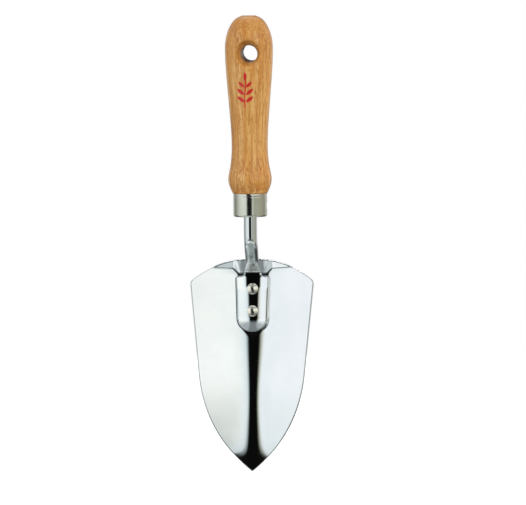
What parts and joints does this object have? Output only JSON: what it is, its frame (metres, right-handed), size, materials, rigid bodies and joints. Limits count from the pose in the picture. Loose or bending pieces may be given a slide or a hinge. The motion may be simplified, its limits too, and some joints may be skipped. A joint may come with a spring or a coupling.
{
  "type": "hand trowel",
  "caption": "Garden hand trowel: pointed dished steel blade riveted to a cranked shank, with a ferrule and a turned wooden handle pierced by a hanging hole.",
  "frame": {"origin": "middle of the small flat on the butt of the handle", "axes": "+Z along the handle's axis towards its butt, so the blade's point is at -Z; +X across the blade; the blade's hollow face looks towards -Y"},
  "size_m": [0.0824, 0.0345, 0.305],
  "materials": {
    "lacquered_wood": "clear gloss lacquer over fine straight grain",
    "satin_nickel": "satin nickel plate",
    "chrome_plate": "bright chrome plate",
    "bright_nickel": "bright nickel plate"
  },
  "bodies": {
    "root": {"handle": "lacquered_wood", "ferrule": "satin_nickel", "shank": "chrome_plate", "blade": "chrome_plate", "rivet_upper": "bright_nickel", "rivet_lower": "bright_nickel"}
  },
  "joints": []
}
